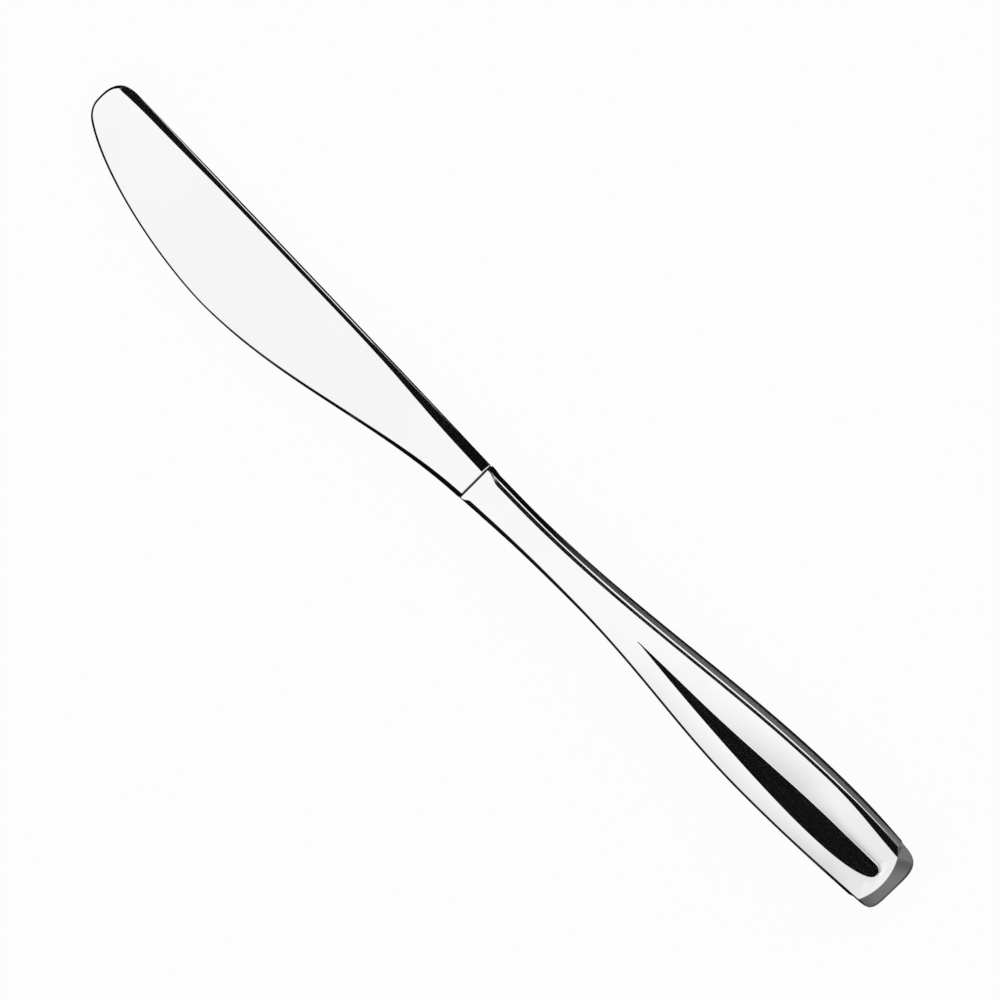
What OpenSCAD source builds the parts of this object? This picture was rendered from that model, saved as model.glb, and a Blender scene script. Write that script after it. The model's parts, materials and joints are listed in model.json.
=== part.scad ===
// Dessert knife with a hollow pressed handle, laid flat with its front face up.
// X runs from the tip to the butt, Y towards the spine and Z up from the table.
// The origin lies on the table under the middle of the knife.

/* [Blade outline] */
// Length of the blade from its tip to the joint with the handle
blade_len = 100.8; // [92:0.2:112]
// Distance from the joint to the deepest point of the belly
belly_from_joint = 59.8; // [52:0.2:66]
// Depth of the belly below the middle of the joint
belly_drop = 13.2; // [11:0.1:15]
// Distance past the joint at which the heel curve would level out
heel_run = 4.5; // [2:0.5:8]
// Height of the spine above the middle of the joint at its front end
spine_rise = 6.78; // [5.8:0.02:7.6]
// Bow of the spine above a straight line
spine_bow = 0.06; // [0:0.02:0.4]
// Length of the rounded corner between the spine and the nose
nose_len = 5.6; // [4.6:0.1:7]
// Height of the foremost point above the middle of the joint
nose_rise = 1.1; // [0.6:0.1:1.8]
// Distance by which the curve of the belly would run on past the nose
belly_over = 1.2; // [0.6:0.1:2]
// Length of the tighter corner between the belly and the nose
corner_len = 2.5; // [1.6:0.1:3.4]

/* [Blade section] */
// Half thickness behind the edge at the belly
edge_half = 0.44; // [0.38:0.02:0.56]
// Half thickness at the spine above the belly
spine_half = 1.05; // [1:0.05:1.3]
// Share of the rise from edge to spine that is lost at the tip
tip_taper = 0.6; // [0.3:0.05:0.7]
// Width of the edge bevel at the belly
edge_belly = 0.42; // [0.3:0.02:0.5]
// Width of the edge bevel between belly and nose
edge_front = 0.56; // [0.42:0.02:0.66]
// Width of the edge bevel at the nose
edge_nose = 0.4; // [0.3:0.02:0.5]
// Width of the edge bevel at the heel
edge_heel = 0.74; // [0.56:0.02:0.9]
// Half height of the narrow flat along the spine
spine_flat = 0.78; // [0.6:0.02:0.84]
// Half height of that flat beside the nose
nose_flat = 0.2; // [0.12:0.02:0.28]
// Width of the spine bevel in the middle of the blade
bevel_mid = 0.8; // [0.5:0.05:1]
// Width of the spine bevel beside the nose
bevel_nose = 1.26; // [1:0.02:1.5]
// Extra width of the spine bevel where it runs out at the nose
bevel_dip = 0.6; // [0.3:0.05:0.7]

/* [Bolster] */
// Length over which the blade swells into the bolster
swell_len = 27; // [20:0.5:34]
// Half width of the handle's face at the joint
joint_half_w = 3.8; // [3.6:0.05:4.1]
// Half thickness of blade and handle at the joint
joint_half_h = 2.2; // [2.1:0.05:2.4]
// Width of the broad bevels of the bolster
bolster_bevel = 1.45; // [1.1:0.05:1.7]
// Half height of the narrow flat between these bevels
bolster_flat = 0.35; // [0.25:0.05:0.6]

/* [Handle outline] */
// Length of the handle from the joint to the butt
handle_len = 109.2; // [105:0.2:116]
// Distance from the joint to the waist on the spine side
waist_at_spine = 10; // [6:0.5:14]
// Half width of the waist on the spine side
waist_spine = 3.71; // [3.56:0.05:4.01]
// Distance from the joint to the widest point on the spine side
wide_at_spine = 92; // [88:0.5:95]
// Half width of the widest point on the spine side
wide_spine = 9.25; // [8.7:0.05:9.8]
// Half width that the spine side aims for at the butt
butt_spine = 8.25; // [7.8:0.05:8.6]
// Distance from the joint to the waist on the edge side
waist_at_edge = 27; // [22:0.5:32]
// Half width of the waist on the edge side
waist_edge = 2.86; // [2.76:0.05:3.21]
// Distance from the joint to the widest point on the edge side
wide_at_edge = 82; // [76:0.5:88]
// Half width of the widest point on the edge side
wide_edge = 5.56; // [5.16:0.05:6.06]
// Half width that the edge side aims for at the butt
butt_edge = 4.25; // [3.8:0.05:4.6]
// Length of the rounded and bevelled end at the butt
butt_len = 5.4; // [5:0.1:5.8]
// Extra half width of the neck's faceted sides at the seam
neck_swell = 0.5; // [0.35:0.05:0.6]
// Distance from the joint over which these facets run out
neck_run = 45; // [38:1:52]

/* [Handle section] */
// Half thickness of the handle at the edge of its face
face_half = 3.27; // [3.15:0.03:3.6]
// Distance from the joint to the thickest point
thick_at = 86; // [80:0.5:92]
// Half thickness of the face at the butt
face_butt = 2.95; // [2.8:0.05:3.1]
// Width of the shoulder on the spine side of the neck
shoulder_neck_spine = 0.72; // [0.56:0.02:0.8]
// Width of the shoulder on the edge side of the neck
shoulder_neck_edge = 0.96; // [0.8:0.02:1.02]
// Width of the shoulder on the spine side of the body
shoulder_body_spine = 0.6; // [0.46:0.02:0.7]
// Width of the shoulder on the edge side of the body
shoulder_body_edge = 0.6; // [0.46:0.02:0.7]
// Extra width of the spine side's shoulder next to the butt
shoulder_flare = 0.75; // [0.4:0.05:0.9]
// Length of the square lip at the mouth of the handle
lip_len = 0.4; // [0.2:0.1:0.8]
// Length over which the spine side's shoulder grows behind the lip
lip_run_spine = 3; // [2.2:0.1:3.6]
// Length over which the edge side's shoulder grows behind the lip
lip_run_edge = 1.4; // [1:0.1:2]
// Draft of the side walls towards the face
wall_draft = 0.12; // [0.05:0.01:0.18]
// Half height of the narrow wall at the butt
butt_wall = 0.45; // [0.35:0.05:0.6]
// Crown of the neck and of the band along the edge side
face_crown = 0.3; // [0.2:0.02:0.36]

/* [Thumb hollow] */
// Distance from the joint to the point of the hollow
hollow_tip = 43.4; // [40:0.2:46]
// Height of the point of the hollow above the middle of the joint
hollow_rise = 1.16; // [0.9:0.02:1.3]
// Distance from the joint to the widest point of the hollow
hollow_wide_at = 86; // [82:0.5:90]
// Reach of the hollow's rim towards the edge side
hollow_reach = 1.5; // [1.3:0.05:1.8]
// Height of the hollow's valley without its swell at the wide end
hollow_valley = 2.05; // [1.8:0.05:2.3]
// Swell of the valley towards the spine at the wide end
valley_swell = 1.05; // [0.7:0.05:1.2]
// Distance from the butt to the end of the hollow
hollow_end_gap = 4.4; // [4.2:0.1:5]
// Height of the hollow's foremost end point
hollow_end_rise = 2; // [1.7:0.1:2.3]
// Length of the hollow's rounded end
hollow_round = 1.4; // [1:0.1:2]
// Slope of the hollow's floor in degrees
hollow_slope = 12; // [9:0.5:13]
// Distance from the butt to the crest of the end bevel
bevel_crest = 2.5; // [2.2:0.1:2.8]

/* [Handle construction] */
// Wall thickness of the pressed half shells
shell_wall = 0.7; // [0.6:0.05:0.8]
// Thickness of the solder in the seam between the half shells
seam_gap = 0.12; // [0.08:0.01:0.16]
// Thickness of the solder between bolster and handle
joint_gap = 0.34; // [0.2:0.02:0.4]
// Depth of the hairline grooves at the solder
hairline = 0.06; // [0.04:0.01:0.1]
// Clearance round the filler and the tang
clearance = 0.08; // [0.06:0.01:0.12]
// Length of the spigot that locates the blade in the handle
spigot_len = 5; // [4:0.2:6.4]
// Length of the tang from the joint to its end
tang_len = 50; // [44:1:58]
// Width of the tang at the spigot
tang_w = 4; // [3.4:0.1:4.1]
// Width of the tang at its end
tang_end_w = 3; // [2.6:0.1:3.2]
// Thickness of the tang
tang_t = 1.8; // [1.4:0.1:1.9]
// Depth of the notches that key the tang in the filler
notch_d = 0.5; // [0.3:0.05:0.7]

/* [Hidden] */

// Exponents of the rounded corners and curves
nose_power = 2.4;
belly_power = 1.66;
corner_power = 2.2;
butt_power = 3.9;
hollow_power = 2.5;
rim_power = 1.6;
valley_power = 0.7;
crowd = 1.8;

// Steps along each stretch of the outlines
steps_swell = 12;
steps_heel = 6;
steps_belly = 12;
steps_nose = 12;
steps_lip = 8;
steps_neck = 12;
steps_hollow = 18;
steps_butt = 12;
face_rows = 5;

// Slopes of the edge bevel and of the shoulders
edge_slope = 0.93;
shoulder_slope = 0.85;
// Width of the shoulder at the lip and its flare on the edge side at the butt
lip_bevel = 0.12;
flare_edge = 0.1;
// Place and length of the rise of the bolster's bevel on the spine side
bolster_from = 38;
bolster_run = 30;
// Length of the spine bevel's wider end at the nose
dip_len = 10.8;
// Place and length of the valley's swell
swell_from = 57;
swell_run = 37;
// Half width of the fine ridge along the neck
ridge_half = 0.12;
// Corners of the face at the end bevel, from the start of the rounded end
corner_spine = 1.3;
corner_edge = 1.9;
// Length over which the end bevel cuts down the side walls
fall_len = 1.4;
// Place and length of the rise of the neck's crown
crown_from = 25;
crown_run = 45;

butt_at = handle_len - butt_len;
hollow_end = handle_len - hollow_end_gap;
hollow_at = hollow_end - hollow_round;
butt_mid = (butt_spine - butt_edge) / 2;
nose_at = blade_len - nose_len;
blade_half_w = joint_half_w + neck_swell;
core_from = spigot_len + 0.3;
core_to = butt_at - 1.2;
shift = [(blade_len - handle_len) / 2, (belly_drop - wide_spine) / 2, face_half + face_crown];

function unit(t) = min(1, max(0, t));
function mix(a, b, t) = a + (b - a) * t;
function wave(t) = (1 - cos(180 * unit(t))) / 2;
function smooth(t) = unit(t) * unit(t) * (3 - 2 * unit(t));
function round_off(u, n) = pow(max(0, 1 - pow(unit(u), n)), 1 / n);

// Blade outline
function spine_line(x) =
    let (u = -x / nose_at)
    mix(blade_half_w, spine_rise, u) + 4 * spine_bow * u * (1 - u);
function spine_y(x) =
    nose_rise + (spine_line(x) - nose_rise) * round_off((-x - nose_at) / nose_len, nose_power);
function heel_end() =
    belly_drop - (belly_drop - blade_half_w) / wave(belly_from_joint / (belly_from_joint + heel_run));
function edge_y(x) =
    x > -belly_from_joint
    ? -mix(belly_drop, heel_end(), wave((x + belly_from_joint) / (belly_from_joint + heel_run)))
    : nose_rise - (belly_drop + nose_rise)
        * round_off((-x - belly_from_joint) / (blade_len + belly_over - belly_from_joint), belly_power)
        * round_off((-x - blade_len + corner_len) / corner_len, corner_power);

// Blade thickness, a flat grind from edge to spine that swells into the bolster
function front(x) = unit((-x - belly_from_joint) / (blade_len - belly_from_joint));
function ahead(x) = wave((-x - belly_from_joint) / (nose_at - belly_from_joint));
function swell(x) = smooth(1 + x / swell_len);
function bolster(x) = wave((x + bolster_from) / bolster_run);
function ground(x, y) =
    edge_half + (1 - tip_taper * front(x)) * (spine_half - edge_half) * (y + belly_drop)
        / (spine_line(-belly_from_joint) + belly_drop);
function blade_z(x, y) = mix(ground(x, y), joint_half_h, swell(x));

// Widths of the bevels along the edge and along the spine, which runs out straight at the nose
function edge_width(x) =
    mix(mix(edge_nose, mix(edge_belly, edge_front, front(x)), smooth((blade_len + x) / 2.5)),
        edge_heel, unit((x + belly_from_joint) / (belly_from_joint - swell_len)));
function spine_width(x) =
    let (full = mix(bevel_mid, bevel_nose, ahead(x))
             + bevel_dip * pow(unit((-x - blade_len + dip_len) / dip_len), 2))
    x >= -nose_at ? full : max(0, spine_y(x) - spine_line(x) + full);

blade_x = concat(
    [for (k = [0:steps_swell - 1]) mix(-joint_gap, -swell_len, k / steps_swell)],
    [for (k = [0:steps_heel - 1]) mix(-swell_len, -belly_from_joint, k / steps_heel)],
    [for (k = [0:steps_belly - 1]) mix(-belly_from_joint, -nose_at, k / steps_belly)],
    [for (k = [0:steps_nose]) -blade_len + nose_len * pow(1 - k / steps_nose, 2)]
);
blade_n = len(blade_x) - 1;

// Blade loop from the heel round the nose to the spine, as [x, y, spine share]
blade_loop = [
    for (i = [0:2 * blade_n])
        let (x = blade_x[min(i, 2 * blade_n - i)])
        i <= blade_n ? [x, edge_y(x), 0]
        : [x, spine_y(x), x >= -nose_at ? 1 : unit(spine_width(x) / bevel_nose)]
];

// Point of a closed or open loop moved inwards by d
function inset(loop, i, d) =
    let (n = len(loop),
         a = loop[max(0, i - 1)],
         b = loop[min(n - 1, i + 1)],
         v = [b.x - a.x, b.y - a.y],
         l = norm(v))
    i == 0 || i == n - 1
    ? [loop[i].x, loop[i].y + (i == 0 ? 1 : -1) * d * sign(loop[n - 1].y - loop[0].y)]
    : [loop[i].x + d * v.y / l, loop[i].y - d * v.x / l];

// Half height of the blade's side wall, and the inner edge of the bevel above it
function blade_wall(p) =
    let (g = ground(p.x, p.y),
         edge = max(0.05, g - edge_slope * edge_width(p.x)),
         back = mix(g, mix(spine_flat, nose_flat, pow(ahead(p.x), 3)), p.z))
    mix(mix(edge, back, p.z), bolster_flat, swell(p.x));
function blade_top(i) =
    let (p = blade_loop[i],
         turn = inset(blade_loop, i, 1) - [p.x, p.y],
         fine = mix(turn * edge_width(p.x), [0, -spine_width(p.x)], smooth(p.z)))
    [p.x, p.y] + mix(fine, turn * bolster_bevel, p.z > 0.5 ? bolster(p.x) : swell(p.x));

blade_rows = [
    [for (p = blade_loop) [p.x, p.y, blade_wall(p)]],
    [for (i = [0:2 * blade_n]) let (q = blade_top(i)) [q.x, q.y, blade_z(q.x, q.y)]]
];

// Handle outline, with side 1 for the spine and -1 for the edge
function pick(side, spine, edge) = side < 0 ? edge : spine;
function side_y(x, side) =
    let (waist_at = pick(side, waist_at_spine, waist_at_edge),
         waist = pick(side, waist_spine, waist_edge),
         wide_at = pick(side, wide_at_spine, wide_at_edge),
         wide = pick(side, wide_spine, wide_edge))
    side * (
        x < waist_at ? mix(waist, joint_half_w, pow(1 - x / waist_at, 2))
        : x < wide_at ? mix(waist, wide, wave((x - waist_at) / (wide_at - waist_at)))
        : mix(wide, pick(side, butt_spine, butt_edge), 1 - cos(90 * (x - wide_at) / (handle_len - wide_at)))
    );
function belt(x) = neck_swell * (1 - smooth(x / neck_run));
function fall(x) = unit((x - butt_at) / fall_len);

// Height of the handle's face and the size of its shoulder
function face_z(x) =
    x < thick_at
    ? mix(joint_half_h, face_half, sin(90 * x / thick_at))
    : mix(face_half, face_butt, 1 - cos(90 * (x - thick_at) / (handle_len - thick_at)));
function crown(x) =
    face_crown * wave((x - crown_from) / crown_run)
    * (1 - smooth((x - hollow_wide_at) / (hollow_end - hollow_wide_at)));
function lip(x, side) = smooth((x - lip_len) / pick(side, lip_run_spine, lip_run_edge));
function draft(x, side) = (wall_draft + 0.8 * belt(x)) * mix(0.6, 1, lip(x, side));
function crest_y(x, side) = side_y(x, side) + side * (belt(x) - draft(x, side));
function shoulder(x, side) =
    mix(lip_bevel,
        mix(pick(side, shoulder_neck_spine, shoulder_neck_edge),
            pick(side, shoulder_body_spine, shoulder_body_edge), wave((x - 8) / 36)),
        lip(x, side));
function crest_z(x, side) = face_z(x) - shoulder_slope * shoulder(x, side);
function face_y(x, side) =
    let (flare = pick(side, shoulder_flare, flare_edge) * wave((x - thick_at) / (butt_at - thick_at)))
    crest_y(x, side) - side * (shoulder(x, side) + flare);

// Outline of the hollow: rim on the edge side, valley on the spine side
function neck_y(x) = hollow_rise * x / hollow_tip;
function rim_line(x) =
    x < hollow_tip ? neck_y(x)
    : mix(-hollow_reach, hollow_rise,
          pow(unit((hollow_wide_at - x) / (hollow_wide_at - hollow_tip)), rim_power));
function rim_y(x) =
    let (share = unit((x - hollow_wide_at) / (hollow_end - hollow_wide_at)))
    (share <= 0 ? rim_line(x) : mix(hollow_end_rise, -hollow_reach, round_off(share, hollow_power)))
    - ridge_half * (1 - share);
function valley_y(x) =
    (x < hollow_tip ? neck_y(x)
    : mix(hollow_rise, hollow_valley, pow((x - hollow_tip) / (hollow_at - hollow_tip), valley_power)))
    + ridge_half + valley_swell * wave((x - swell_from) / swell_run);
function floor_z(x, y) =
    face_z(x) + crown(x) - tan(hollow_slope) * smooth((x - hollow_tip + 3) / 3) * (y - rim_y(x));

// Stations along the handle, as shares of the way from its start to the end of the hollow's straight part
function stations(from) =
    let (full = lip_len + lip_run_spine)
    [
        for (x = concat(
            from < lip_len ? [for (k = [0:steps_lip - 1]) mix(from, full, k / steps_lip)] : [],
            [for (k = [0:steps_neck - 1]) mix(max(from, full), hollow_tip, k / steps_neck)],
            [for (k = [0:steps_hollow - 1]) mix(hollow_tip, hollow_wide_at, k / steps_hollow)],
            [for (k = [0:steps_lip]) mix(hollow_wide_at, hollow_at, k / steps_lip)]))
        (x - from) / (hollow_at - from)
    ];

// Index helpers for a loop that runs up the spine side, round the butt and back down the edge side
function loop_size(s) = 2 * len(s) + 2 * steps_butt - 1;
function side_of(i, size) = i == (size - 1) / 2 ? 0 : i < size / 2 ? 1 : -1;
function step_of(i, size) = min(i, size - 1 - i);
function angle_of(m, n) =
    m < n ? 0 : 90 * (1 - pow(max(0, 1 - pow((m - n + 1) / steps_butt, crowd)), crowd));

// Outline of the handle at the seam, with the share of the end bevel's fall
function seam_loop(from) =
    let (s = stations(from), size = loop_size(s), n = len(s))
    [
        for (i = [0:size - 1])
            let (m = step_of(i, size), side = side_of(i, size),
                 f = pow(sin(angle_of(m, n)), 2 / butt_power),
                 x = m < n ? mix(from, butt_at, s[m]) : butt_at + butt_len * f,
                 y = m < n ? side_y(x, side) + side * belt(x)
                     : side == 0 ? butt_mid
                     : butt_mid + (side_y(x, side) - butt_mid) * round_off(f, butt_power))
            [x, y, fall(x)]
    ];

// Edge of the face: along the shoulders and in an arc along the end bevel
function face_end(side) = butt_at + pick(side, corner_spine, corner_edge);
function face_loop(from) =
    let (s = stations(from), size = loop_size(s), n = len(s),
         a = [face_end(1), face_y(face_end(1), 1)],
         b = [face_end(-1), face_y(face_end(-1), -1)],
         c = [2 * (handle_len - bevel_crest) - (a.x + b.x) / 2, (a.y + b.y) / 2])
    [
        for (i = [0:size - 1])
            let (m = step_of(i, size), side = side_of(i, size),
                 part = pow(cos(angle_of(m, n)), 2 / butt_power),
                 x = mix(from, face_end(side), s[min(m, n - 1)]),
                 t = (1 - side * part) / 2,
                 p = m < n ? [x, face_y(x, side)]
                     : (1 - t) * (1 - t) * a + 2 * t * (1 - t) * c + t * t * b)
            [p.x, p.y, face_z(p.x)]
    ];

// Rim and valley of the hollow; in the neck they close up to the fine ridge
function hollow_loop(from) =
    let (s = stations(from), size = loop_size(s), n = len(s))
    [
        for (i = [0:size - 1])
            let (m = step_of(i, size), side = side_of(i, size), a = angle_of(m, n),
                 x = m < n ? mix(from, hollow_at, s[m]) : hollow_at + hollow_round * sin(a),
                 y = side < 0 ? rim_y(x)
                     : m < n ? valley_y(x)
                     : mix(hollow_end_rise, valley_y(hollow_at), cos(a)))
            [x, y, floor_z(x, y)]
    ];

// Rows of the handle's skin from the seam to the hollow, moved inwards by d
function handle_rows(from, d) =
    let (seam = seam_loop(from), face = face_loop(from), dish = hollow_loop(from), size = len(seam),
         side = [for (i = [0:size - 1]) side_of(i, size)],
         wall = [for (i = [0:size - 1]) inset(seam, i, d)],
         crest = [for (i = [0:size - 1]) inset(seam, i, d + draft(seam[i].x, side[i]))],
         edge = [for (i = [0:size - 1]) inset(face, i, d / 2)],
         top = [for (i = [0:size - 1])
             mix(crest_z(min(crest[i].x, butt_at), side[i]), butt_wall, seam[i].z)
             - 0.6 * d * (1 - 0.5 * seam[i].z)],
         deep = [for (i = [0:size - 1])
             side[i] < 0 ? smooth(seam[i].z) : unit((dish[i].x - hollow_tip) / 10)],
         rise = [for (i = [0:size - 1]) crown(dish[i].x) * (1 - deep[i])],
         steep = [for (i = [0:size - 1]) mix(1, mix(2, 9, smooth(seam[i].z / 0.6)), deep[i])])
    concat(
        [[for (i = [0:size - 1]) [wall[i].x, wall[i].y, seam_gap / 2]]],
        [[for (i = [0:size - 1]) [crest[i].x, crest[i].y, top[i]]]],
        [for (k = [0:face_rows])
            [for (i = [0:size - 1])
                let (t = k / face_rows)
                [mix(edge[i].x, dish[i].x, t), mix(edge[i].y, dish[i].y, t),
                 face[i].z + rise[i] * (1 - (1 - t) * (1 - t))
                 + (dish[i].z - face[i].z - rise[i]) * pow(t, steep[i]) - d]]]
    );

// Faces of lofted skins over rows of equal length
function quad(a, b, c, d) = [[a, b, c], [a, c, d]];
function turned(faces) = [for (f = faces) [f[2], f[1], f[0]]];
function skin(size, first, last) = [
    for (r = [first:last - 1], i = [0:size - 2])
        each quad(r * size + i, r * size + i + 1, (r + 1) * size + i + 1, (r + 1) * size + i)
];
function rungs(size, row) =
    let (h = (size - 1) / 2, b = row * size)
    [
        for (i = [0:h - 1])
            each i < h - 1 ? quad(b + i, b + i + 1, b + size - 2 - i, b + size - 1 - i)
                : [[b + i, b + h, b + size - 1 - i]]
    ];
function flat_points(rows) = [for (r = rows) each r];
function below(rows) = [for (r = rows) [for (p = r) [p.x, p.y, -p.z]]];

// Solid between a lofted skin and its mirror image, with a flat cut at its open end
module pillow(rows) {
    size = len(rows[0]);
    n = len(rows);
    cut = concat([for (r = [0:n - 1]) r * size], [for (r = [n - 1:-1:0]) r * size + size - 1]);
    low = n * size;
    top = concat(skin(size, 0, n - 1), rungs(size, n - 1));
    bottom = turned(concat(skin(size, n, 2 * n - 1), rungs(size, 2 * n - 1)));
    wall = [for (i = [0:size - 2]) each quad(low + i, low + i + 1, i + 1, i)];
    end = [for (k = [0:len(cut) - 2]) each quad(cut[k], cut[k + 1], low + cut[k + 1], low + cut[k])];
    polyhedron(flat_points(concat(rows, below(rows))), concat(top, bottom, wall, end), convexity = 6);
}

// Open shell between an outer and an inner lofted skin
module half_shell(outer, inner) {
    size = len(outer[0]);
    n = len(outer);
    low = n * size;
    last = size - 1;
    out = concat(skin(size, 0, n - 1), rungs(size, n - 1));
    inside = turned(concat(skin(size, n, 2 * n - 1), rungs(size, 2 * n - 1)));
    seam = [for (i = [0:size - 2]) each quad(low + i, low + i + 1, i + 1, i)];
    mouth_a = [for (r = [0:n - 2])
        each quad(r * size, (r + 1) * size, low + (r + 1) * size, low + r * size)];
    mouth_b = [for (r = [0:n - 2])
        each quad(low + r * size + last, low + (r + 1) * size + last, (r + 1) * size + last, r * size + last)];
    middle = quad((n - 1) * size, (n - 1) * size + last, low + (n - 1) * size + last, low + (n - 1) * size);
    polyhedron(flat_points(concat(outer, inner)), concat(out, inside, seam, mouth_a, mouth_b, middle), convexity = 6);
}

// Flat tang with keying notches, grown by g
module tang(from, g) {
    half_a = tang_w / 2 + g;
    half_b = tang_end_w / 2 + g;
    pitch = (tang_len - spigot_len) / 4;
    translate([0, 0, -tang_t / 2 - g])
        linear_extrude(tang_t + 2 * g)
            difference() {
                polygon([[from, -half_a], [tang_len + g, -half_b], [tang_len + g, half_b], [from, half_a]]);
                for (k = [1:3], side = [-1, 1])
                    translate([spigot_len + k * pitch, side * (tang_w / 2 + notch_d + g / 2)])
                        circle(d = 4 * notch_d - 2 * g, $fn = 24);
            }
}

// Half sizes of the spigot, taken from the shell's inside where it is narrowest
spigot_half_w = min(crest_y(spigot_len, 1), -crest_y(spigot_len, -1)) - shell_wall - clearance;
spigot_half_h = min(crest_z(spigot_len, 1), crest_z(spigot_len, -1)) - 0.6 * shell_wall - clearance;

module blade() {
    color("gainsboro")
    translate(shift)
    union() {
        pillow(blade_rows);
        translate([-1, -spigot_half_w, -spigot_half_h])
            cube([spigot_len + 1, 2 * spigot_half_w, 2 * spigot_half_h]);
        tang(spigot_len - 1, 0);
    }
}

module handle_half() {
    half_shell(handle_rows(0, 0), handle_rows(0, shell_wall));
}

module handle_front() {
    color("silver")
    translate(shift)
    handle_half();
}

module handle_back() {
    color("silver")
    translate(shift)
    mirror([0, 0, 1])
    handle_half();
}

module seam_solder() {
    loop = seam_loop(0);
    outer = [for (i = [0:len(loop) - 1]) inset(loop, i, hairline)];
    inner = [for (i = [len(loop) - 1:-1:0]) inset(loop, i, shell_wall)];
    color("darkgray")
    translate(shift)
    translate([0, 0, -seam_gap / 2])
        linear_extrude(seam_gap)
            polygon(concat(outer, inner));
}

// Section at the open end of a lofted skin, pulled in by the depth of the hairline groove
module end_section(rows, d) {
    last = len(rows[0]) - 1;
    n = len(rows);
    half = concat([for (r = [0:n - 1]) rows[r][0]], [for (r = [n - 1:-1:0]) rows[r][last]]);
    offset(delta = -d)
        polygon(concat([for (p = half) [p.y, p.z]], [for (i = [2 * n - 1:-1:0]) [half[i].y, -half[i].z]]));
}

module joint_solder() {
    hole = clearance;
    color("dimgray")
    translate(shift)
    translate([-joint_gap, 0, 0])
    rotate([90, 0, 90])
        linear_extrude(joint_gap)
            difference() {
                intersection() {
                    end_section(handle_rows(0, 0), hairline);
                    end_section(blade_rows, hairline);
                }
                square([2 * (spigot_half_w + hole), 2 * (spigot_half_h + hole)], center = true);
            }
}

module filler() {
    color("tan")
    translate(shift)
    difference() {
        intersection() {
            pillow(handle_rows(core_from, shell_wall + clearance));
            translate([0, -handle_len / 2, -handle_len / 2])
                cube([core_to, handle_len, handle_len]);
        }
        tang(core_from - 1, clearance);
    }
}

blade();
handle_front();
handle_back();
seam_solder();
joint_solder();
filler();
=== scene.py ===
"""Dessert knife with a hollow pressed handle: fine meshes, steel finishes and a white studio.

Sizes are in millimetres from the middle of the joint between blade and handle. X runs to the
butt, Y towards the spine and Z out of the front face. Finished meshes are in metres, in the frame
of the part's solids. A couple of numbers in a field that ends in run gives a start and the length
after it, and a pair gives one size for each long side.
"""

from __future__ import annotations

import json
import logging
import math
from abc import ABC, abstractmethod
from collections.abc import Callable
from dataclasses import dataclass, field
from enum import Enum
from typing import NamedTuple

import bmesh
import bpy
from mathutils import Matrix, Vector

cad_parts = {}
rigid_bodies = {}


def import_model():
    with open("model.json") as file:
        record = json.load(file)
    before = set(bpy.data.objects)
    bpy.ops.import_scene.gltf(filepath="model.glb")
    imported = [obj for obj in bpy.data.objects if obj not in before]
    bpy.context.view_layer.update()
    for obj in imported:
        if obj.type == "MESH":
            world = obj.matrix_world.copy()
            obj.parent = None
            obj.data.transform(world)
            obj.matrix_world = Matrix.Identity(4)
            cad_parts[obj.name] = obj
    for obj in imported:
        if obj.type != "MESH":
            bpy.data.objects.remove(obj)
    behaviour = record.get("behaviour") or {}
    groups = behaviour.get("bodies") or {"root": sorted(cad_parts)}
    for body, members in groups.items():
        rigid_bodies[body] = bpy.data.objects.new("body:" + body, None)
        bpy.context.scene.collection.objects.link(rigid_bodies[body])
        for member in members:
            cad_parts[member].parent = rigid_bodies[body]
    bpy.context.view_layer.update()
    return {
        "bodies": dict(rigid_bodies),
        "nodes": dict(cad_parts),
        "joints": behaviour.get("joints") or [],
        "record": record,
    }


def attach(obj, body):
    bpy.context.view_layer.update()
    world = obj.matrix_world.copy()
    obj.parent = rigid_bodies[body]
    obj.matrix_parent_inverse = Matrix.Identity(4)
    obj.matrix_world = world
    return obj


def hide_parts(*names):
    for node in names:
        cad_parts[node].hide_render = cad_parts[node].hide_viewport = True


LOG = logging.getLogger("dessert_knife")
MM = 0.001
BODY = "root"
WEAR = "edge_wear"
# Grey stored on the cards' points, which paints the reflections in the steel.
REFLECTION_TONE = "painted_reflection_tone"
WEAR_ANGLE = 0.3
DOUBLES = 2e-4
THIN = 1e-5

Mesh = bmesh.types.BMesh
Socket = bpy.types.NodeSocket
Couple = tuple[float, float]
Triple = tuple[float, float, float]
Points = Callable[[float, float], tuple[Vector, float]]


class Side(Enum):
    """Long sides of the knife, with the sign of Y on each."""

    SPINE = 1
    EDGE = -1


class Face(Enum):
    """Broad faces of the knife, with the sign of Z on each."""

    FRONT = 1
    BACK = -1


@dataclass(frozen=True)
class Pair:
    """A size that differs between the two long sides."""

    spine: float
    edge: float

    def __getitem__(self, side: Side) -> float:
        """Give the size on one side."""
        return self.spine if side is Side.SPINE else self.edge


@dataclass(frozen=True)
class Step:
    """Amount that comes in with level ends, from a start over a run."""

    amount: float
    start: float
    run: float

    def at(self, x: float) -> float:
        """Give the amount at a place."""
        return self.amount * ease(x, self.start, self.run)


class Station(NamedTuple):
    """Place on the way up the handle's spine side, round the butt and down the edge side.

    The share is that of the straight part, the angle round the butt is in degrees, and the sign
    is that of the side, 0 at the end point.
    """

    share: float
    angle: float
    sign: int

    @property
    def side(self) -> Side:
        """Long side of the place, where the end point counts to the spine."""
        return Side.EDGE if self.sign < 0 else Side.SPINE


def unit(t: float) -> float:
    """Keep a share between 0 and 1."""
    return min(1.0, max(0.0, t))


def mix(a: float, b: float, t: float) -> float:
    """Go from a to b by the share t."""
    return a + (b - a) * t


def wave(t: float) -> float:
    """Rise from 0 to 1 along half a cosine."""
    return (1.0 - math.cos(math.pi * unit(t))) / 2.0


def smooth(t: float) -> float:
    """Rise from 0 to 1 with level ends."""
    return unit(t) ** 2 * (3.0 - 2.0 * unit(t))


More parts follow.
